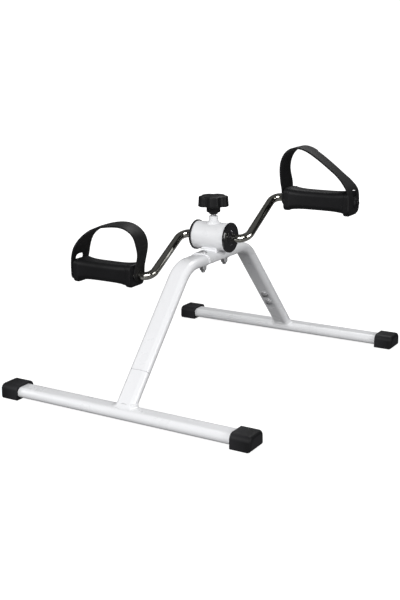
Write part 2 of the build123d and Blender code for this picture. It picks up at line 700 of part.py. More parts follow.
def write_pedals():
    for side in SIDES:
        save(f"{side}_pedal_body", place(side, pedal_body()))
        save(f"{side}_pedal_inner_plate", place(side, inner_plate()))
        save(f"{side}_pedal_outer_plate", place(side, outer_plate()))
        save(f"{side}_axle_bushes", *[place(side, bush) for bush in axle_bushes()])
        save(f"{side}_foot_strap", place(side, foot_strap(side)))


os.makedirs("parts", exist_ok=True)
write_stand()
write_hub()
write_crank()
write_pedals()
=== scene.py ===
"""The looks of a pedal exerciser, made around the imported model, which stays as it is.

The solids keep their places and get procedural materials. The foot straps, the knob with its stud and the
domed bolts are replaced by finer meshes, and weld beads are added.
"""

import json
import math

import bmesh
import bpy
import numpy as np
from mathutils import Matrix, Vector


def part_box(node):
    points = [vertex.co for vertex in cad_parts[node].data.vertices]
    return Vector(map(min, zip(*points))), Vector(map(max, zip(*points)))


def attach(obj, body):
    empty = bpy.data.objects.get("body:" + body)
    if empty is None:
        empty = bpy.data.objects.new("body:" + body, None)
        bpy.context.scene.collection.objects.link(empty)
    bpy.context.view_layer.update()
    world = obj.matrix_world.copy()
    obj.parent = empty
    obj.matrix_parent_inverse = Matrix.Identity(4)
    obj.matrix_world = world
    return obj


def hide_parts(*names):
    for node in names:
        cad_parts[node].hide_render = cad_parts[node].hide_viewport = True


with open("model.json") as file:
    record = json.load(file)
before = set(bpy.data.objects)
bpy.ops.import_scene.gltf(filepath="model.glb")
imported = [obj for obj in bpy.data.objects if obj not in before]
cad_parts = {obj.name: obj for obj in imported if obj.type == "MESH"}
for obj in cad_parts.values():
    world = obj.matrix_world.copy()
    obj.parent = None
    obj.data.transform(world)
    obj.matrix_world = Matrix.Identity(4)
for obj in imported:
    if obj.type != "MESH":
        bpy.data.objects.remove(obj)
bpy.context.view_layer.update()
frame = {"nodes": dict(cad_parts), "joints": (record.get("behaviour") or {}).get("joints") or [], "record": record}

NODES = frame["nodes"]
JOINTS = {joint["name"]: joint for joint in frame["joints"]}
MM = 0.001

SIDES = {"left": -1, "right": 1}

# The camera, in metres
CAMERA_SPOT = (0.73692, -1.25428, 0.49623)
CAMERA_RIGHT = (0.85609145, 0.5167327, -0.0097336)
CAMERA_UP = (-0.12489927, 0.2251274, 0.96629076)
CAMERA_LENS = 60.24

# The lights in metres and watts: name, place, what it points at, width, height, power
LIGHTS = [
    ("key", (0.25, -2.0, 1.05), (0, 0, 0.12), 1.5, 0.9, 38.0),
    ("right_fill", (2.1, -0.5, 0.7), (0, 0, 0.15), 1.3, 1.0, 27.0),
    ("left_fill", (-1.8, -1.2, 1.0), (0, 0, 0.15), 1.0, 1.0, 14.0),
    ("top_fill", (0.0, 1.35, 2.0), (0, 0, 0.15), 1.3, 1.0, 31.0),
    ("back_strip", (-1.6, 1.5, 0.9), (0, 0, 0.15), 0.25, 1.2, 0.5),
]

# Foot straps, in millimetres like all sizes below
STRAP_THICKNESS = 2.4
STRAP_EDGE_ROUND = 0.55
STRAP_DROP = 10.5
TAB_DROP = 14.5
STRAP_TONGUE_HALF = 12.0
STRAP_INNER_HALF = 14.8
STRAP_TOP_HALF = 12.8
STRAP_TAB_HALF = 18.6
STRAP_TAB_CORNER = 7.0
STRAP_CROWN_X = 119.0
AXLE_HOLE = 6.5
BUTTON_HOLE = 5.6
WINDOW_HALF = 9.5
WINDOW_BOTTOM = 8.5
WINDOW_TOP = {"left": 22.5, "right": 18.8}

# Tension knob and its stud
KNOB_LOBES = 5
KNOB_RADIUS = 22.5
KNOB_STEM_LENGTH = 8.7
KNOB_FACING = math.radians(-59.0)
KNOB_FLUTE_RADIUS = 9.0
KNOB_FLUTE_DEPTH = 4.0
KNOB_FLUTE_BLUR = math.radians(9.0)
KNOB_DOME = 1.5
KNOB_TAPER = 0.9
KNOB_FOOT_ROUND = 0.9
KNOB_TOP_ROUND = 1.5
STEM_RADIUS = 10.2
STUD_RADIUS = 4.0
STUD_THREAD_DEPTH = 0.55
STUD_PITCH = 1.25

# Saddle bolts
BOLT_RADIUS = 3.0
BOLT_THREAD_DEPTH = 0.38
BOLT_PITCH = 1.0
BOLT_PLAIN_SHANK = 6.0
BOLT_HEAD_RADIUS = 6.2
BOLT_HEAD_HEIGHT = 3.6

# Welds, and the lengths of the frame that they follow
TUBE_THICKNESS = 15.0
ARCH_CORNER_Y = 86.0
SADDLE_NECK_HALF_WIDTH = 13.0
SADDLE_WELD_Y = 12.9
SADDLE_WELD_RADIUS = 1.5
BOSS_WELD_RING = 9.4
BOSS_WELD_RADIUS = 1.0
BEAD_RIPPLE = 0.12
BEAD_PITCH = 1.5
LEG_WELD_HEIGHT = 6.0
LEG_WELD_WIDTH = 4.5
LEG_WELD_RIPPLE = 0.03
LEG_WELD_STEPS = 120


# Camera, floor and light

def make_camera():
    data = bpy.data.cameras.new("camera")
    data.sensor_width = 36.0
    data.lens = CAMERA_LENS
    data.clip_start = 0.05
    data.clip_end = 200.0
    camera = bpy.data.objects.new("camera", data)
    right = Vector(CAMERA_RIGHT)
    up = Vector(CAMERA_UP)
    turn = Matrix((right, up, right.cross(up))).transposed()
    camera.matrix_world = Matrix.Translation(CAMERA_SPOT) @ turn.to_4x4()
    bpy.context.scene.collection.objects.link(camera)
    bpy.context.scene.camera = camera


def link_mesh(name, mesh):
    obj = bpy.data.objects.new(name, mesh)
    bpy.context.scene.collection.objects.link(obj)
    return obj


def camera_only(obj):
    """The object is seen by the camera but neither lights nor is reflected by others."""
    obj.visible_diffuse = False
    obj.visible_glossy = False
    obj.visible_transmission = False
    obj.visible_volume_scatter = False
    obj.visible_shadow = False


def stage_piece(name, bm, material):
    """Turn a bmesh into a piece of the backdrop."""
    mesh = bpy.data.meshes.new(name)
    bm.to_mesh(mesh)
    bm.free()
    piece = link_mesh(name, mesh)
    piece.data.materials.append(material)
    camera_only(piece)
    return piece


def glowing_white(name, grey, glow):
    """A matt grey that also glows white, which hides where the backdrop ends."""
    material = bpy.data.materials.new(name)
    material.use_nodes = True
    shader = material.node_tree.nodes["Principled BSDF"]
    shader.inputs["Base Color"].default_value = (grey, grey, grey, 1.0)
    shader.inputs["Roughness"].default_value = 0.9
    shader.inputs["Specular IOR Level"].default_value = 0.0
    shader.inputs["Emission Color"].default_value = (1.0, 1.0, 1.0, 1.0)
    shader.inputs["Emission Strength"].default_value = glow
    return material


def floor_white():
    """Pale floor that takes a soft contact shadow; its glow is painted light that rises outward, so it brightens
    to pure white further out.
    """
    material = glowing_white("floor_white", 0.35, 1.0)
    tree = material.node_tree
    where = tree.nodes.new("ShaderNodeTexCoord")
    distance = tree.nodes.new("ShaderNodeVectorMath")
    distance.operation = "LENGTH"
    # Painted light: the floor's glow rises from 0.86 near the middle to 1.1 from 1.6 m out
    glow = tree.nodes.new("ShaderNodeMapRange")
    for name, value in (("From Min", 0.6), ("From Max", 1.6), ("To Min", 0.86), ("To Max", 1.1)):
        glow.inputs[name].default_value = value
    tree.links.new(where.outputs["Object"], distance.inputs[0])
    tree.links.new(distance.outputs["Value"], glow.inputs["Value"])
    shader = tree.nodes["Principled BSDF"]
    tree.links.new(glow.outputs["Result"], shader.inputs["Emission Strength"])
    return material


def make_stage():
    """A pale round floor and a plain white dome that hides its edge."""
    circle = bmesh.new()
    bmesh.ops.create_circle(circle, cap_ends=True, segments=96, radius=30.0)
    floor = stage_piece("floor", circle, floor_white())
    floor.location.z = -0.0002
    sphere = bmesh.new()
    bmesh.ops.create_uvsphere(sphere, u_segments=64, v_segments=32, radius=29.0)
    stage_piece("dome", sphere, glowing_white("dome_white", 0.0, 1.3))


def make_world():
    """A dim room, darkest at eye level and paler above and below, which the chrome reflects."""
    world = bpy.data.worlds.new("studio")
    bpy.context.scene.world = world
    world.use_nodes = True
    tree = world.node_tree
    background = tree.nodes["Background"]
    where = tree.nodes.new("ShaderNodeTexCoord")
    split = tree.nodes.new("ShaderNodeSeparateXYZ")
    ramp = tree.nodes.new("ShaderNodeMapRange")
    ramp.inputs["From Min"].default_value = -1.0
    curve = tree.nodes.new("ShaderNodeValToRGB")
    stops = [(0.0, 0.16), (0.36, 0.13), (0.47, 0.02), (0.60, 0.012), (0.74, 0.03), (0.84, 0.07), (1.0, 0.09)]
    element = curve.color_ramp.elements
    for position, _ in stops[1:-1]:
        element.new(position)
    for spot, (position, level) in zip(element, stops):
        spot.position = position
        spot.color = (level, level, level * 1.02, 1.0)
    curve.color_ramp.interpolation = "EASE"
    tree.links.new(where.outputs["Generated"], split.inputs[0])
    tree.links.new(split.outputs["Z"], ramp.inputs["Value"])
    tree.links.new(ramp.outputs["Result"], curve.inputs["Fac"])
    tree.links.new(curve.outputs["Color"], background.inputs["Color"])
    background.inputs["Strength"].default_value = 0.9


def area_light(name, spot, aim, width, height, power):
    """A rectangular light at a spot that faces what it is aimed at."""
    data = bpy.data.lights.new(name, "AREA")
    data.shape = "RECTANGLE"
    data.size = width
    data.size_y = height
    data.energy = power
    light = bpy.data.objects.new(name, data)
    light.location = spot
    light.rotation_mode = "QUATERNION"
    light.rotation_quaternion = (Vector(aim) - Vector(spot)).to_track_quat("-Z", "Y")
    bpy.context.scene.collection.objects.link(light)


def make_lights():
    for light in LIGHTS:
        area_light(*light)


# Materials

class Paint:
    """One procedural material, with short calls for the nodes it is built from."""

    def __init__(self, name, roughness, metallic=0.0, coat=0.0, coat_roughness=0.1, specular=0.5):
        self.material = bpy.data.materials.new(name)
        self.material.use_nodes = True
        self.tree = self.material.node_tree
        self.shader = self.tree.nodes["Principled BSDF"]
        self.shader.inputs["Metallic"].default_value = metallic
        self.shader.inputs["Roughness"].default_value = roughness
        self.shader.inputs["Coat Weight"].default_value = coat
        self.shader.inputs["Coat Roughness"].default_value = coat_roughness
        self.shader.inputs["Specular IOR Level"].default_value = specular
        self.where = self.tree.nodes.new("ShaderNodeTexCoord").outputs["Object"]

    def link(self, source, target):
        self.tree.links.new(source, target)

    def stretched(self, scale):
        """The object's coordinates, scaled by a different amount along each axis."""
        mapping = self.tree.nodes.new("ShaderNodeMapping")
        mapping.inputs["Scale"].default_value = scale
        self.link(self.where, mapping.inputs["Vector"])
        return mapping.outputs["Vector"]

    def noise(self, scale, detail=4.0, roughness=0.5, vector=None, distortion=0.0):
        node = self.tree.nodes.new("ShaderNodeTexNoise")
        node.inputs["Scale"].default_value = scale
        node.inputs["Detail"].default_value = detail
        node.inputs["Roughness"].default_value = roughness
        node.inputs["Distortion"].default_value = distortion
        self.link(vector or self.where, node.inputs["Vector"])
        return node.outputs["Fac"]

    def cells(self, scale, feature="F1", vector=None):
        node = self.tree.nodes.new("ShaderNodeTexVoronoi")
        node.feature = feature
        node.inputs["Scale"].default_value = scale
        self.link(vector or self.where, node.inputs["Vector"])
        return node.outputs["Distance"]

    def spread(self, value, low, high, to_low=0.0, to_high=1.0):
        """Map value from low..high onto to_low..to_high, clamped."""
        node = self.tree.nodes.new("ShaderNodeMapRange")
        node.inputs["From Min"].default_value = low
        node.inputs["From Max"].default_value = high
        node.inputs["To Min"].default_value = to_low
        node.inputs["To Max"].default_value = to_high
        self.link(value, node.inputs["Value"])
        return node.outputs["Result"]

    def math(self, kind, first, second):
        node = self.tree.nodes.new("ShaderNodeMath")
        node.operation = kind
        for socket, value in zip(node.inputs, (first, second)):
            if isinstance(value, (int, float)):
                socket.default_value = value
            else:
                self.link(value, socket)
        return node.outputs[0]

    def mix(self, amount, first, second):
        """Blend two colours, each a socket or an rgb triple."""
        node = self.tree.nodes.new("ShaderNodeMix")
        node.data_type = "RGBA"
        self.link(amount, node.inputs["Factor"])
        for name, value in (("A", first), ("B", second)):
            socket = next(s for s in node.inputs if s.name == name and s.type == "RGBA")
            if isinstance(value, tuple):
                socket.default_value = (*value, 1.0)
            else:
                self.link(value, socket)
        return next(s for s in node.outputs if s.type == "RGBA")

    def colour(self, socket):
        self.link(socket, self.shader.inputs["Base Color"])

    def rough(self, socket):
        self.link(socket, self.shader.inputs["Roughness"])

    def bump(self, height, strength, distance, below=None):
        """Add a bump layer on top of the one below it and return it."""
        node = self.tree.nodes.new("ShaderNodeBump")
        node.inputs["Strength"].default_value = strength
        node.inputs["Distance"].default_value = distance
        self.link(height, node.inputs["Height"])
        if below is not None:
            self.link(below, node.inputs["Normal"])
        self.link(node.outputs["Normal"], self.shader.inputs["Normal"])
        return node.outputs["Normal"]

    def edges(self, low, high):
        """About 1 on worn convex edges and 0 elsewhere, from the surface's pointiness."""
        node = self.tree.nodes.new("ShaderNodeNewGeometry")
        return self.spread(node.outputs["Pointiness"], low, high)


def powder_coat(name, base, shade):
    """Glossy white powder coat: orange peel, faint dust and a few dull scuffs."""
    paint = Paint(name, 0.3, coat=0.35, coat_roughness=0.12)
    broad = paint.spread(paint.noise(9.0, 5.0), 0.35, 0.65)
    tone = paint.mix(broad, base, shade)
    specks = paint.spread(paint.noise(620.0, 2.0), 0.70, 0.78)
    tone = paint.mix(specks, tone, tuple(0.82 * c for c in shade))
    scuff = paint.spread(paint.noise(60.0, 8.0, 0.75, paint.stretched((1.0, 5.0, 3.0))), 0.66, 0.74)
    tone = paint.mix(scuff, tone, tuple(0.88 * c for c in shade))
    paint.colour(tone)
    roughness = paint.spread(paint.noise(35.0, 6.0), 0.3, 0.7, 0.24, 0.38)
    paint.rough(paint.math("ADD", roughness, paint.math("MULTIPLY", scuff, 0.15)))
    peel = paint.bump(paint.noise(420.0, 2.0), 0.10, 0.0004)
    paint.bump(paint.noise(60.0, 3.0), 0.05, 0.0010, peel)
    return paint.material


def chrome(name):
    """Polished chrome with a slight haze, fine rubbed lines and a few pits."""
    paint = Paint(name, 0.08, metallic=1.0)
    haze = paint.spread(paint.noise(14.0, 5.0), 0.35, 0.7)
    tone = paint.mix(haze, (0.82, 0.81, 0.75), (0.68, 0.67, 0.58))
    pits = paint.spread(paint.noise(900.0, 2.0), 0.74, 0.80)
    tone = paint.mix(pits, tone, (0.30, 0.28, 0.24))
    paint.colour(tone)
    lines = paint.noise(40.0, 6.0, 0.7, paint.stretched((1.0, 12.0, 12.0)))
    paint.rough(paint.spread(lines, 0.3, 0.8, 0.05, 0.16))
    ripple = paint.bump(paint.noise(45.0, 2.0), 0.06, 0.0010)
    paint.bump(lines, 0.03, 0.0002, ripple)
    return paint.material


def zinc(name, bright, dark):
    """Dull plated steel with mottled spangle and darker grime."""
    paint = Paint(name, 0.35, metallic=0.75)
    mottle = paint.spread(paint.cells(260.0), 0.1, 0.6)
    tone = paint.mix(mottle, bright, dark)
    grime = paint.spread(paint.noise(110.0, 8.0, 0.65), 0.48, 0.62)
    tone = paint.mix(grime, tone, tuple(0.5 * c for c in dark))
    paint.colour(tone)
    paint.rough(paint.spread(paint.noise(180.0, 5.0), 0.3, 0.7, 0.24, 0.48))
    paint.bump(paint.noise(700.0, 4.0), 0.18, 0.0002)
    return paint.material


def moulded(name, base, light, roughness, grain, relief):
    """Black moulded plastic: spark-eroded grain, rubbed patches and hair scratches."""
    paint = Paint(name, roughness, specular=0.16)
    patch = paint.spread(paint.noise(22.0, 6.0, 0.6), 0.38, 0.68)
    tone = paint.mix(patch, base, light)
    hair = paint.noise(90.0, 9.0, 0.8, paint.stretched((0.6, 6.0, 4.0)), 0.4)
    marks = paint.spread(hair, 0.69, 0.73)
    tone = paint.mix(marks, tone, tuple(2.2 * c for c in light))
    worn = paint.edges(0.53, 0.60)
    tone = paint.mix(worn, tone, tuple(1.9 * c for c in light))
    paint.colour(tone)
    rough = paint.spread(patch, 0.0, 1.0, roughness + 0.05, roughness - 0.08)
    paint.rough(paint.math("ADD", rough, paint.math("MULTIPLY", marks, 0.12)))
    fine = paint.bump(paint.noise(grain, 3.0, 0.6), relief, 0.00015)
    paint.bump(paint.noise(70.0, 2.0), 0.06, 0.0008, fine)
    return paint.material


def gloss_plastic(name):
    """Glossy black plastic with faint swirls and finger haze."""
    paint = Paint(name, 0.14, coat=0.5, coat_roughness=0.06)
    haze = paint.spread(paint.noise(55.0, 6.0, 0.6), 0.4, 0.7)
    paint.colour(paint.mix(haze, (0.006, 0.006, 0.007), (0.013, 0.013, 0.014)))
    paint.rough(paint.spread(haze, 0.0, 1.0, 0.10, 0.24))
    swirl = paint.bump(paint.noise(500.0, 3.0), 0.03, 0.0002)
    paint.bump(paint.noise(70.0, 2.0), 0.05, 0.0006, swirl)
    return paint.material


def strap_rubber(name):
    """Flexible black strap: fine pebbled skin, dusty creases and rubbed edges."""
    paint = Paint(name, 0.5, specular=0.14)
    paint.shader.inputs["Sheen Weight"].default_value = 0.02
    paint.shader.inputs["Sheen Roughness"].default_value = 0.5
    patch = paint.spread(paint.noise(30.0, 6.0, 0.6), 0.36, 0.68)
    tone = paint.mix(patch, (0.0045, 0.0045, 0.005), (0.0085, 0.0085, 0.009))
    dust = paint.spread(paint.noise(260.0, 6.0, 0.7), 0.60, 0.74)
    tone = paint.mix(dust, tone, (0.015, 0.015, 0.0155))
    worn = paint.edges(0.53, 0.62)
    tone = paint.mix(worn, tone, (0.020, 0.020, 0.021))
    paint.colour(tone)
    paint.rough(paint.spread(patch, 0.0, 1.0, 0.62, 0.50))
    pebble = paint.bump(paint.cells(1100.0, "SMOOTH_F1"), 0.16, 0.00025)
    paint.bump(paint.noise(140.0, 4.0), 0.10, 0.0006, pebble)
    return paint.material


def nylon(name):
    """Natural nylon with smears of dark grease."""
    paint = Paint(name, 0.45)
    paint.shader.inputs["Subsurface Weight"].default_value = 0.1
    grease = paint.spread(paint.noise(160.0, 6.0), 0.5, 0.66)
    paint.colour(paint.mix(grease, (0.74, 0.72, 0.66), (0.30, 0.27, 0.22)))
    paint.bump(paint.noise(600.0, 3.0), 0.1, 0.0002)
    return paint.material


def friction_pad(name):
    """Dense brown friction block with coarse flecks."""
    paint = Paint(name, 0.8)
    flecks = paint.spread(paint.cells(700.0), 0.15, 0.35)
    paint.colour(paint.mix(flecks, (0.16, 0.11, 0.07), (0.055, 0.04, 0.03)))
    paint.bump(paint.noise(500.0, 5.0), 0.4, 0.0004)
    return paint.material


def black_plastics():
    """The three moulded blacks: end caps, pedals and knob."""
    looks = {
        "black_cap": ("cap_plastic", (0.006, 0.006, 0.0065), (0.010, 0.010, 0.011), 0.55, 1500.0, 0.30),
        "black_knob": ("knob_plastic", (0.006, 0.006, 0.0065), (0.010, 0.010, 0.011), 0.46, 1600.0, 0.22),
        "black_pedal": (
            "pedal_plastic", (0.0055, 0.0055, 0.006), (0.0095, 0.0095, 0.0105), 0.50, 1300.0, 0.24,
        ),
    }
    return {slot: moulded(*look) for slot, look in looks.items()}


def make_materials():
    """One material for each material slot of the record."""
    return {
        "white_frame": powder_coat("white_frame_coat", (0.80, 0.805, 0.82), (0.77, 0.775, 0.79)),
        "chrome_rod": chrome("chrome_plating"),
        "zinc_steel": zinc("zinc_plating", (0.80, 0.80, 0.81), (0.52, 0.52, 0.53)),
        "gloss_cap": gloss_plastic("hub_cap_plastic"),
        "strap_rubber": strap_rubber("strap_skin"),
        "friction_pad": friction_pad("friction_block"),
        "nylon_bush": nylon("nylon"),
        **black_plastics(),
    }


def dress_nodes(materials):
    """Give each CAD node the material of its record slot."""
    slots = {part["node"]: part["material_slot"] for part in frame["record"]["subparts"]}
    for name, node in NODES.items():
        for index in range(len(node.material_slots)):
            node.material_slots[index].material = materials[slots[name]]


# Mesh helpers

def grid_mesh(name, rows, around=False, start_cap=False, end_cap=False):
    """Quads through rows of points; around closes each row, and the caps fill the ends."""
    bm = bmesh.new()
    made = [[bm.verts.new(point) for point in row] for row in rows]
    count = len(rows[0])
    steps = count if around else count - 1
    for low, high in zip(made, made[1:]):
        for column in range(steps):
            beside = (column + 1) % count
            bm.faces.new((low[column], low[beside], high[beside], high[column]))
    if start_cap:
        bm.faces.new(reversed(made[0]))
    if end_cap:
        bm.faces.new(made[-1])
    bmesh.ops.recalc_face_normals(bm, faces=bm.faces)
    for face in bm.faces:
        face.smooth = True
    mesh = bpy.data.meshes.new(name)
    bm.to_mesh(mesh)
    bm.free()
    return mesh


def smooth_by_angle(obj, degrees):
    """Keep edges sharper than this angle crisp."""
    obj.data.set_sharp_from_angle(angle=math.radians(degrees))


def bake_modifiers(obj):
    """Replace the mesh by what its modifiers make of it."""
    graph = bpy.context.evaluated_depsgraph_get()
    graph.update()
    mesh = bpy.data.meshes.new_from_object(obj.evaluated_get(graph))
    obj.modifiers.clear()
    obj.data = mesh


def merge_seam(mesh, turn_outward=False):
    """Join the first and last rows of a closed strip where they meet."""
    bm = bmesh.new()
    bm.from_mesh(mesh)
    bmesh.ops.remove_doubles(bm, verts=bm.verts, dist=1e-7)
    if turn_outward:
        bmesh.ops.recalc_face_normals(bm, faces=bm.faces)
    bm.to_mesh(mesh)
    bm.free()
    return mesh


def box_mm(node):
    """A node's lowest and highest corners in millimetres."""
    low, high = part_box(node)
    return Vector(low) / MM, Vector(high) / MM


def add_piece(name, mesh, material, slot, body, *replaced):
    """Link a finished mesh as a piece that rides on a body and may stand for CAD nodes."""
    obj = link_mesh(name, mesh)
    obj.data.materials.append(material)
    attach(obj, body)
    if replaced:
        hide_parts(*replaced)
    return obj


# Foot straps

# Each strap's middle line from the axle over the foot to the button: distance out from the hub's middle, and
# height over the pedal axis
STRAP_LINES = {
    "left": [(74.5, -STRAP_DROP), (74.5, 8), (71.6, 24), (69.4, 42), (72.8, 57), (83.6, 67.6), (97, 72.8),
             (111, 73.4), (127, 70.8), (143.2, 65.8), (159, 56.8), (172.8, 43.6), (180.9, 29), (184.2, 13),
             (184.3, -TAB_DROP)],
    "right": [(74.5, -STRAP_DROP), (74.8, 8), (73.6, 26), (72.4, 44), (76.4, 61.6), (87, 73), (98, 76),
              (108.4, 74.4), (122, 67.8), (135.4, 59), (149.6, 48.6), (164, 37.2), (175, 27.4), (182.4, 18.4),
              (184.3, 10), (184.3, -TAB_DROP)],
}

# How far the front edge hangs below the middle at the crown
STRAP_EDGE_SAG = {"left": 3.0, "right": 0.6}


class SmoothLine:
    """A curvature-continuous line through points, measured by length along it."""

    def __init__(self, points, start, end):
        points = np.array(points, float)
        chord = np.concatenate([[0.0], np.cumsum(np.linalg.norm(np.diff(points, axis=0), axis=1))])
        slopes = self.solve(points, np.diff(chord), np.array(start, float), np.array(end, float))
        fine = np.linspace(0.0, chord[-1], 4001)
        index = np.clip(np.searchsorted(chord, fine) - 1, 0, len(chord) - 2)
        width = (chord[index + 1] - chord[index])[:, None]
        t = (fine - chord[index])[:, None] / width
        spots = (points[index] * (2 * t**3 - 3 * t**2 + 1) + points[index + 1] * (3 * t**2 - 2 * t**3)
                 + slopes[index] * (t**3 - 2 * t**2 + t) * width + slopes[index + 1] * (t**3 - t**2) * width)
        self.spots = spots
        self.lengths = np.concatenate([[0.0], np.cumsum(np.linalg.norm(np.diff(spots, axis=0), axis=1))])
        self.length = self.lengths[-1]

    @staticmethod
    def solve(points, gaps, start, end):
        """Slopes at the points that make the curvature continuous, with both end slopes given."""
        count = len(points)
        matrix = np.zeros((count, count))
        right = np.zeros_like(points)
        matrix[0, 0] = matrix[-1, -1] = 1.0
        right[0], right[-1] = start, end
        for i in range(1, count - 1):
            before, after = gaps[i - 1], gaps[i]
            matrix[i, i - 1 : i + 2] = (after, 2 * (before + after), before)
            slope_before = (points[i] - points[i - 1]) / before
            slope_after = (points[i + 1] - points[i]) / after
            right[i] = 3 * (after * slope_before + before * slope_after)
        return np.linalg.solve(matrix, right)

    def at(self, length):
        return np.array([np.interp(length, self.lengths, self.spots[:, axis]) for axis in (0, 1)])

    def length_at_height(self, height, last):
        """Where the line passes a height, on its first or on its last leg."""
        above = np.nonzero(self.spots[:, 1] > height)[0]
        return self.lengths[above[-1] if last else above[0]]


def ease(value, low, high):
    """0 up to low, 1 from high on, and a smooth rise between them."""
    t = min(max((value - low) / (high - low), 0.0), 1.0)
    return t * t * (3 - 2 * t)


def bump(value, low, middle, high):
    """Rises from 0 at low to 1 at middle and falls back to 0 at high."""
    return ease(value, low, middle) * (1 - ease(value, middle, high))


def strap_half_widths(side, x, z, from_start, to_end):
    """How far the strap reaches to the front and to the rear of its middle at a place on it."""
    on_inner_leg = x < STRAP_CROWN_X
    if on_inner_leg:
        inner = STRAP_TONGUE_HALF + (STRAP_INNER_HALF - STRAP_TONGUE_HALF) * ease(z, 10.0, 27.0)
        crown = STRAP_INNER_HALF + (STRAP_TOP_HALF - STRAP_INNER_HALF) * ease(x, 80.0, 118.0)
        front = rear = min(inner, crown)
    else:
        front = rear = STRAP_TOP_HALF + (STRAP_TAB_HALF - STRAP_TOP_HALF) * ease(x, 158.0, 184.0)
    # The left strap has a waist on its inner leg and a fuller rear edge towards its tab
    if side == "left" and on_inner_leg:
        front -= 5.5 * bump(z, 6.0, 26.0, 52.0)
        rear -= 2.5 * bump(z, 6.0, 26.0, 46.0)
    if side == "left" and not on_inner_leg:
        rear += 5.0 * bump(z, -4.0, 22.0, 62.0)
    # The right strap leans forward at its tab and flares to the rear on its inner leg
    if side == "right" and not on_inner_leg:
        front += 3.5 * ease(x, 168.0, 184.0)
        rear -= 3.5 * ease(x, 168.0, 184.0)
    if side == "right" and on_inner_leg:
        rear += 3.0 * ease(z, 20.0, 40.0) + 10.0 * bump(z, -2.0, 14.0, 44.0)
    for distance, radius in ((from_start, STRAP_TONGUE_HALF - 0.5), (to_end, STRAP_TAB_CORNER)):
        if distance < radius:
            trim = math.sqrt(radius**2 - (radius - max(distance, 0.0)) ** 2) - radius
            front += trim
            rear += trim
    return front, rear


class Hole:
    """A hole in the strap: round, or squarer with a higher power."""

    def __init__(self, centre, half_length, half_width, power=2.0):
        self.centre = centre
        self.half_length = half_length
        self.half_width = half_width
        self.power = power

    def rows(self, count=18):
        """Places along the strap for rows of points, closer together at the hole's two ends."""
        turns = np.linspace(-math.pi / 2, math.pi / 2, count + 1)
        shares = np.sign(np.sin(turns)) * np.abs(np.sin(turns)) ** (2 / self.power)
        return self.centre + self.half_length * shares

    def half_width_at(self, length):
        share = abs(length - self.centre) / self.half_length
        if share >= 1.0 - 1e-9:
            return 0.0
        return self.half_width * (1 - share**self.power) ** (1 / self.power)


def pedal_axis(side):
    """A pedal axis's Y and Z in millimetres, from its joint."""
    place = JOINTS[f"{side}_pedal_spin"]["pos_m"]
    return place[1] / MM, place[2] / MM


def strap_holes(side, line):
    """The axle hole, the button hole and the window in the tab."""
    axle_at = line.length_at_height(0.0, last=False)
    button_at = line.length_at_height(0.0, last=True)
    top_at = line.length_at_height(WINDOW_TOP[side], last=True)
    bottom_at = line.length_at_height(WINDOW_BOTTOM, last=True)
    return [
        Hole(axle_at, AXLE_HOLE, AXLE_HOLE),
        Hole(button_at, BUTTON_HOLE, BUTTON_HOLE),
        Hole((top_at + bottom_at) / 2, (bottom_at - top_at) / 2, WINDOW_HALF, 3.0),
    ]


def strap_stations(line, holes):
    """Where the strap has rows of points: evenly, closer at its rounded ends, and around each hole."""
    ends = 8.0 * (1 - np.cos(np.linspace(0, math.pi / 2, 12)))
    even = set(np.round(np.arange(0.0, line.length, 1.6), 4))
    even |= set(np.round(ends, 4)) | set(np.round(line.length - ends, 4))
    stations = [length for length in even if all(abs(length - h.centre) > h.half_length + 0.6 for h in holes)]
    for hole in holes:
        stations += list(hole.rows())
    return sorted(stations)


def strap_row(side, line, holes, length, columns):
    """Points across the strap at one station, from the hole's edge out to each side."""
    x, z = line.at(length)
    axis_y, axis_z = pedal_axis(side)
    widths = strap_half_widths(side, x, z, length, line.length - length)
    hole_half = max(hole.half_width_at(length) for hole in holes)
    hole_half = min(hole_half, min(widths) - 1.0) if hole_half else 0.0
    row = []
    for across, half in zip((-1, 1), widths):
        for column in range(columns + 1):
            y = across * (hole_half + (max(half, 0.4) - hole_half) * column / columns)
            sag = STRAP_EDGE_SAG[side] * bump(x, 72.0, 112.0, 165.0) * max(-y, 0.0) / STRAP_TOP_HALF
            row.append((SIDES[side] * x * MM, (axis_y + y) * MM, (axis_z + z - sag) * MM))
    return row


def strap_mesh(side, columns=6):
    """The strap as one sheet along its middle line, with its holes open."""
    line = SmoothLine(STRAP_LINES[side], (0, 1), (0, -1))
    holes = strap_holes(side, line)
    bm = bmesh.new()
    rows = []
    for length in strap_stations(line, holes):
        rows.append([bm.verts.new(point) for point in strap_row(side, line, holes, length, columns)])
    for low, high in zip(rows, rows[1:]):
        for start in (0, columns + 1):
            for a in range(start, start + columns):
                bm.faces.new((low[a], low[a + 1], high[a + 1], high[a]))
    bmesh.ops.remove_doubles(bm, verts=bm.verts, dist=1e-6)
    bmesh.ops.recalc_face_normals(bm, faces=bm.faces)
    for face in bm.faces:
        face.smooth = True
    mesh = bpy.data.meshes.new(f"{side}_strap")
    bm.to_mesh(mesh)
    bm.free()
    return mesh


def make_strap(side, material):
    """Thicken the strap's sheet, round its edges and let it ride on its pedal."""
    obj = link_mesh(f"{side}_strap", strap_mesh(side))
    solidify = obj.modifiers.new("thickness", "SOLIDIFY")
    solidify.thickness = STRAP_THICKNESS * MM
    solidify.offset = 0.0
    solidify.use_even_offset = True
    bevel = obj.modifiers.new("rounded_edges", "BEVEL")
    bevel.width = STRAP_EDGE_ROUND * MM
    bevel.segments = 3
    bevel.limit_method = "ANGLE"
    bevel.angle_limit = math.radians(50)
    bake_modifiers(obj)
    obj.data.materials.clear()
    obj.data.materials.append(material)
    smooth_by_angle(obj, 50.0)
    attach(obj, f"{side}_pedal")
    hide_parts(f"{side}_foot_strap")


# Tension knob and stud

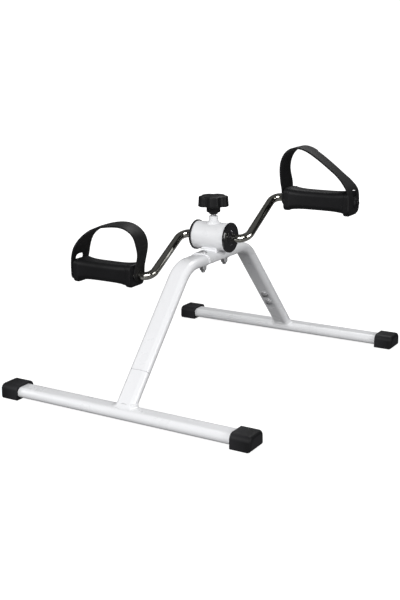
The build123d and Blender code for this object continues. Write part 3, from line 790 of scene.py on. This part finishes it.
def knob_outline(angle, samples=9):
    """The knob's radius at an angle: round lobes with scooped flutes, softened where they meet."""
    pitch = 2 * math.pi / KNOB_LOBES
    centre = KNOB_RADIUS - KNOB_FLUTE_DEPTH + KNOB_FLUTE_RADIUS
    total = 0.0
    for k in range(samples):
        shifted = angle + KNOB_FLUTE_BLUR * (k / (samples - 1) - 0.5)
        off = (shifted - KNOB_FACING) % pitch - pitch / 2
        reach = centre * math.sin(off)
        if abs(reach) < KNOB_FLUTE_RADIUS:
            total += min(KNOB_RADIUS, centre * math.cos(off) - math.sqrt(KNOB_FLUTE_RADIUS**2 - reach**2))
        else:
            total += KNOB_RADIUS
    return total / samples


def arc_steps(centre_in, centre_z, radius, start, end, count):
    """Rows on a rounded edge: how far in from the outline and how high."""
    turns = [math.radians(start + (end - start) * k / count) for k in range(count + 1)]
    return [(centre_in - radius * math.cos(turn), centre_z + radius * math.sin(turn)) for turn in turns]


def knob_mesh():
    """A star knob: a cone, a stem, a lobed head that narrows upwards, and a domed top with a cover."""
    low, high = box_mm("tension_knob")
    stem_bottom = low.z
    top = high.z
    head_bottom = stem_bottom + KNOB_STEM_LENGTH
    side_bottom = head_bottom + KNOB_FOOT_ROUND
    side_top = top - KNOB_DOME - KNOB_TOP_ROUND
    angles = [2 * math.pi * k / 200 for k in range(200)]
    outline = [knob_outline(angle) for angle in angles]
    rows = []

    def round_row(radius, z):
        rows.append([(radius * math.cos(a) * MM, radius * math.sin(a) * MM, z * MM) for a in angles])

    def lobed_row(inset, z, share=1.0):
        reach = [radius * share - inset for radius in outline]
        rows.append([(r * math.cos(a) * MM, r * math.sin(a) * MM, z * MM) for r, a in zip(reach, angles)])

    # The socket for the stud and the cone around it
    for radius, rise in ((4.1, 3.0), (4.1, -2.7), (4.5, -3.0), (5.6, -3.0), (6.0, -2.7), (7.4, -0.1)):
        round_row(radius, stem_bottom + rise)
    # The stem, and the small fillet under the head
    for inset, rise in ((0.8, 0.0), (0.2, 0.3), (0.0, 0.9)):
        round_row(STEM_RADIUS - inset, stem_bottom + rise)
    for out, drop in ((0.0, 1.4), (0.25, 0.6), (1.0, 0.1), (2.2, 0.0)):
        round_row(STEM_RADIUS + out, head_bottom - drop)
    # The lobed head
    lobed_row(3.2, head_bottom)
    for inset, z in arc_steps(KNOB_FOOT_ROUND, side_bottom, KNOB_FOOT_ROUND, -90, 0, 5):
        lobed_row(inset, z)
    for step in range(1, 6):
        lobed_row(KNOB_TAPER * step / 5, side_bottom + (side_top - side_bottom) * step / 5)
    for inset, z in arc_steps(KNOB_TOP_ROUND, side_top, KNOB_TOP_ROUND, 12, 78, 6):
        lobed_row(KNOB_TAPER + inset, z)
    for share in (0.84, 0.76, 0.66, 0.56, 0.46):
        lobed_row(0.0, top - KNOB_DOME * share**2, share)
    # The cover in the middle of the top, with a groove around it
    for radius, drop in ((8.6, 0.35), (8.2, 0.35), (7.9, 0.85), (7.6, 0.85)):
        round_row(radius, top - drop)
    for radius, drop in ((7.2, 0.74), (5.0, 0.7), (3.0, 0.66), (1.2, 0.62)):
        round_row(radius, top - drop)
    return grid_mesh("star_knob", rows, around=True, end_cap=True)


def thread_depth(phase):
    """A rounded 60 degree thread form: 0 at the crest and 1 at the root."""
    share = phase % 1.0
    slope = abs(2 * share - 1)
    return min(max(1.25 * slope - 0.12, 0.0), 1.0)


def threaded_rows(radius, depth, pitch, bottom, top, x=0.0, y=0.0, chamfer=0.8, count=48):
    """Rows of a threaded bar along Z whose ends run out to the root in a chamfer."""
    steps = int((top - bottom) / pitch * 10)
    rows = []
    for step in range(steps + 1):
        z = bottom + (top - bottom) * step / steps
        limit = radius - chamfer + min(z - bottom, chamfer)
        row = []
        for k in range(count):
            angle = 2 * math.pi * k / count
            r = radius - depth * thread_depth(z / pitch - angle / (2 * math.pi))
            r = min(r, limit)
            row.append(((x + r * math.cos(angle)) * MM, (y + r * math.sin(angle)) * MM, z * MM))
        rows.append(row)
    return rows


def ring(radius, z, x=0.0, y=0.0, count=48):
    """A level circle of points."""
    turns = [2 * math.pi * k / count for k in range(count)]
    return [((x + radius * math.cos(t)) * MM, (y + radius * math.sin(t)) * MM, z * MM) for t in turns]


def stud_mesh():
    low, high = box_mm("tension_stud")
    rows = threaded_rows(STUD_RADIUS, STUD_THREAD_DEPTH, STUD_PITCH, low.z, high.z)
    return grid_mesh("knob_stud", rows, around=True, start_cap=True, end_cap=True)


def make_knob(plastic, plating):
    """The star knob on its threaded stud."""
    knob = add_piece("star_knob", knob_mesh(), plastic, "black_knob", "tension_screw", "tension_knob")
    smooth_by_angle(knob, 40.0)
    stud = add_piece("knob_stud", stud_mesh(), plating, "zinc_steel", "tension_screw", "tension_stud")
    smooth_by_angle(stud, 50.0)


# Saddle bolts

def dome_rows(radius, height, seat, y, rim=0.7, count=9):
    """Rows of a domed bolt head from its seat up to its crown."""
    rise = height - rim
    sphere = (radius**2 + rise**2) / (2 * rise)
    widest = math.asin(radius / sphere)
    rows = [ring(radius - 0.25, seat, 0, y), ring(radius, seat + 0.25, 0, y), ring(radius, seat + rim, 0, y)]
    for step in range(1, count):
        turn = widest * (1 - step / count)
        rows.append(ring(sphere * math.sin(turn), seat + height - sphere * (1 - math.cos(turn)), 0, y))
    return rows


def bolt_mesh():
    """Both saddle bolts as one piece: threaded shanks under smooth domed heads."""
    low, high = box_mm("saddle_bolts")
    seat = high.z - BOLT_HEAD_HEIGHT
    reach = (high.y - low.y) / 2 - BOLT_HEAD_RADIUS
    thread_top = seat - BOLT_PLAIN_SHANK
    bm = bmesh.new()
    for y in (-reach, reach):
        rows = threaded_rows(BOLT_RADIUS, BOLT_THREAD_DEPTH, BOLT_PITCH, low.z, thread_top, 0, y)
        rows.append(ring(BOLT_RADIUS, thread_top + 0.4, 0, y))
        rows.append(ring(BOLT_RADIUS, seat, 0, y))
        rows += dome_rows(BOLT_HEAD_RADIUS, BOLT_HEAD_HEIGHT, seat, y)
        part = grid_mesh("bolt", rows, around=True, start_cap=True, end_cap=True)
        bm.from_mesh(part)
        bpy.data.meshes.remove(part)
    mesh = bpy.data.meshes.new("domed_bolts")
    bm.to_mesh(mesh)
    bm.free()
    return mesh


def make_bolts(material):
    bolts = add_piece("domed_bolts", bolt_mesh(), material, "zinc_steel", "stand", "saddle_bolts")
    smooth_by_angle(bolts, 50.0)


# Weld beads

class BeadPath:
    """A path for a weld bead, measured by length along it."""

    def __init__(self, points, closed):
        self.closed = closed
        self.points = np.array(points, float)
        if closed:
            self.points = np.vstack([self.points, self.points[:1]])
        steps = np.linalg.norm(np.diff(self.points, axis=0), axis=1)
        self.lengths = np.concatenate([[0.0], np.cumsum(steps)])
        self.length = self.lengths[-1]

    def at(self, length):
        length = length % self.length if self.closed else min(max(length, 0.0), self.length)
        return np.array([np.interp(length, self.lengths, self.points[:, axis]) for axis in range(3)])

    def stations(self, spacing):
        count = int(self.length / spacing)
        spots = np.linspace(0.0, self.length, count + 1)
        return spots[:-1] if self.closed else spots

    def across(self, length, reach=0.4):
        """Two directions square to the path and to each other."""
        along = Vector(self.at(length + reach) - self.at(length - reach)).normalized()
        if abs(along.z) > 0.95:
            side = along.orthogonal().normalized()
        else:
            side = along.cross(Vector((0, 0, 1))).normalized()
        return side, side.cross(along)


def bead_radius(path, spot, radius):
    """The bead's radius at a place: ripples laid one over the next, and round ends on an open bead."""
    wave = (spot / BEAD_PITCH) % 1.0
    size = radius * (1 + BEAD_RIPPLE * (1 - wave) ** 0.5 - BEAD_RIPPLE / 2 + 0.05 * math.sin(spot * 2.3))
    if not path.closed:
        nearest = min(spot, path.length - spot)
        size *= math.sqrt(min(1.0, 0.15 + nearest / radius))
    return size


def bead_mesh(name, points, radius, closed, sides=12):
    """A weld bead along a path: a round rope of overlapping ripples, half sunk in the metal."""
    path = BeadPath(points, closed)
    rows = []
    for spot in path.stations(0.3):
        centre = Vector(path.at(spot))
        side, up = path.across(spot)
        size = bead_radius(path, spot, radius)
        row = []
        for k in range(sides):
            turn = 2 * math.pi * k / sides
            row.append((centre + side * math.cos(turn) * size + up * math.sin(turn) * size) * MM)
        rows.append(row)
    if closed:
        rows.append(rows[0])
    mesh = grid_mesh(name, rows, around=True, start_cap=not closed, end_cap=not closed)
    return merge_seam(mesh) if closed else mesh


def hub_circle():
    """The hub tube's radius and the height of its middle."""
    low, high = box_mm("hub_tube")
    return (high.y - low.y) / 2, (high.z + low.z) / 2


def saddle_weld_path(side):
    """Along the hub's underside, where the saddle's neck meets it in front (-1) or behind (1)."""
    radius, centre_z = hub_circle()
    z = centre_z - math.sqrt(radius**2 - SADDLE_WELD_Y**2) - 0.3
    half = SADDLE_NECK_HALF_WIDTH
    return [(x, side * SADDLE_WELD_Y, z) for x in np.linspace(-half, half, 14)]


def boss_weld_path(count=64):
    """Round the foot of the tension boss, on the hub's curved top."""
    radius, centre_z = hub_circle()
    path = []
    for step in range(count):
        turn = 2 * math.pi * step / count
        x = BOSS_WELD_RING * math.cos(turn)
        y = BOSS_WELD_RING * math.sin(turn)
        path.append((x, y, centre_z + math.sqrt(radius**2 - y**2) + 0.1))
    return path


def nearest_on_oval(y, z, half_flat, radius):
    """The nearest point to (y, z) on a flat oval centred on the origin, lying flat."""
    flat = min(max(y, -half_flat), half_flat)
    length = math.hypot(y - flat, z)
    return flat + (y - flat) * radius / length, z * radius / length


def leg_lean():
    """The legs' angle to the floor, from the base tube's middle up to the corner of the arch."""
    low, high = box_mm("front_base_tube")
    rise = box_mm("upper_frame")[1].z - TUBE_THICKNESS / 2 - (low.z + high.z) / 2
    run = abs((low.y + high.y) / 2) - ARCH_CORNER_Y
    return math.atan2(rise, run)


class LegJoint:
    """Where a flat-oval leg stands on its flat-oval base tube, measured from the tube's middle."""

    def __init__(self, end):
        low, high = box_mm(f"{end}_base_tube")
        self.radius = (high.z - low.z) / 2
        self.half_flat = (high.y - low.y) / 2 - self.radius
        self.centre = Vector((0, (low.y + high.y) / 2, (low.z + high.z) / 2))
        inward = -math.copysign(1, self.centre.y)
        lean = leg_lean()
        self.along = Vector((0, inward * math.cos(lean), math.sin(lean)))
        self.across = Vector((0, inward * math.sin(lean), -math.cos(lean)))

    def meets(self, x, off):
        """Where a line on the leg's side, off its middle, leaves the base tube."""
        inside, outside = 0.0, 40.0
        for _ in range(30):
            middle = (inside + outside) / 2
            point = self.along * middle + self.across * off
            if math.hypot(max(abs(point.y) - self.half_flat, 0.0), point.z) > self.radius:
                outside = middle
            else:
                inside = middle
        return Vector((x, 0, 0)) + self.along * outside + self.across * off

    def fillet_row(self, step):
        """Points down the fillet from the leg to the base tube, and one buried under it."""
        turn = 2 * math.pi * step / LEG_WELD_STEPS
        outward = Vector((math.cos(turn), 0, 0)) + self.across * math.sin(turn)
        flat = self.half_flat * max(-1.0, min(1.0, 3.0 * math.cos(turn)))
        corner = self.meets(flat + self.radius * math.cos(turn), self.radius * math.sin(turn))
        wave = 1.0 + LEG_WELD_RIPPLE * (math.sin(2 * math.pi * step / 3.0) + math.sin(1.7 * step))
        on_leg = corner + self.along * LEG_WELD_HEIGHT * wave + outward * 0.05
        spread = corner + outward * LEG_WELD_WIDTH * wave
        y, z = nearest_on_oval(spread.y, spread.z, self.half_flat, self.radius + 0.05)
        on_base = Vector((spread.x, y, z))
        pull = corner + outward * 0.35
        row = []
        for k in range(9):
            t = k / 8
            row.append(on_leg * (1 - t) ** 2 + pull * 2 * t * (1 - t) + on_base * t**2)
        row.append(corner - outward - self.along)
        return [(point + self.centre) * MM for point in row]


def leg_weld_mesh(end):
    """The smooth concave fillet round the foot of a leg."""
    joint = LegJoint(end)
    rows = [joint.fillet_row(step) for step in range(LEG_WELD_STEPS)]
    rows.append(rows[0])
    return merge_seam(grid_mesh(f"{end}_leg_weld", rows, around=True), turn_outward=True)


def make_welds(material):
    beads = {
        "saddle_weld_front": (saddle_weld_path(-1), SADDLE_WELD_RADIUS, False),
        "saddle_weld_rear": (saddle_weld_path(1), SADDLE_WELD_RADIUS, False),
        "boss_weld": (boss_weld_path(), BOSS_WELD_RADIUS, True),
    }
    for name, (points, radius, closed) in beads.items():
        add_piece(name, bead_mesh(name, points, radius, closed), material, "white_frame", "stand")
    for end in ("front", "rear"):
        add_piece(f"{end}_leg_weld", leg_weld_mesh(end), material, "white_frame", "stand")


# The whole scene

make_camera()
make_stage()
make_world()
make_lights()
looks = make_materials()
dress_nodes(looks)
for strap_side in SIDES:
    make_strap(strap_side, looks["strap_rubber"])
make_knob(looks["black_knob"], looks["zinc_steel"])
make_bolts(looks["zinc_steel"])
make_welds(looks["white_frame"])

scene = bpy.context.scene
scene.view_settings.view_transform = "Standard"
scene.view_settings.look = "None"
